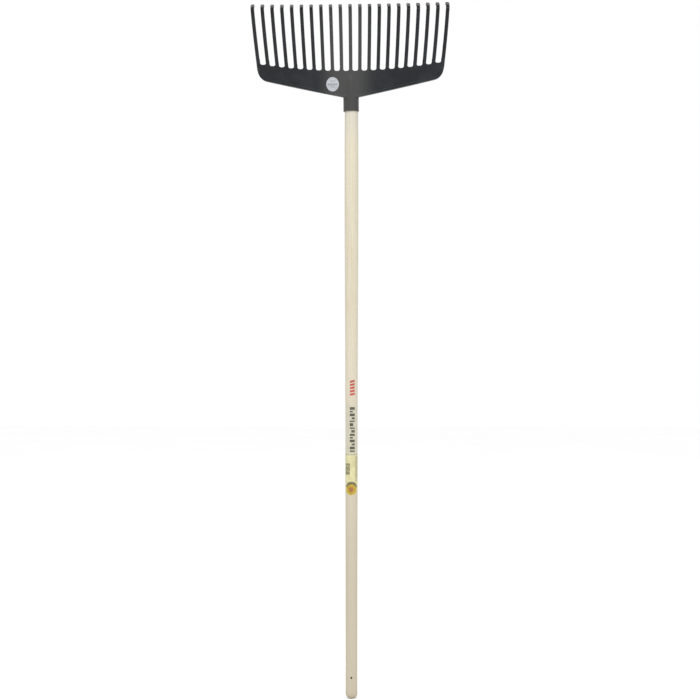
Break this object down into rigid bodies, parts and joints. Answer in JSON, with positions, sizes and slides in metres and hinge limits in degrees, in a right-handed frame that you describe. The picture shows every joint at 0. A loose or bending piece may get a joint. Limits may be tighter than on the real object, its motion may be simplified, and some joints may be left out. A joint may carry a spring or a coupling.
{
  "type": "hay rake",
  "caption": "Long-handled hay rake: a wide moulded plastic head with hooked tines, socketed on a turned ash pole and fixed with a screw.",
  "frame": {"origin": "centre of the flat at the handle's butt end, on the handle's axis", "axes": "+Z along the handle to the head, +X across the head, the tine tips point to -Y"},
  "size_m": [0.4748, 0.0843, 1.6641],
  "materials": {
    "ash": "smooth turned, unvarnished",
    "black_plastic": "moulded, slight sheen",
    "screw_steel": "zinc plated",
    "silver_foil": "silver sticker",
    "red_print": "printed on wood",
    "label_film": "thin printed film",
    "label_paper": "coated paper label",
    "seal_paper": "green and gold printed seal"
  },
  "bodies": {
    "root": {"handle": "ash", "rake_head": "black_plastic", "socket_screw": "screw_steel", "head_badge": "silver_foil", "maker_mark": "red_print", "name_label": "label_film", "grade_label": "label_paper", "quality_seal": "seal_paper"}
  },
  "joints": []
}
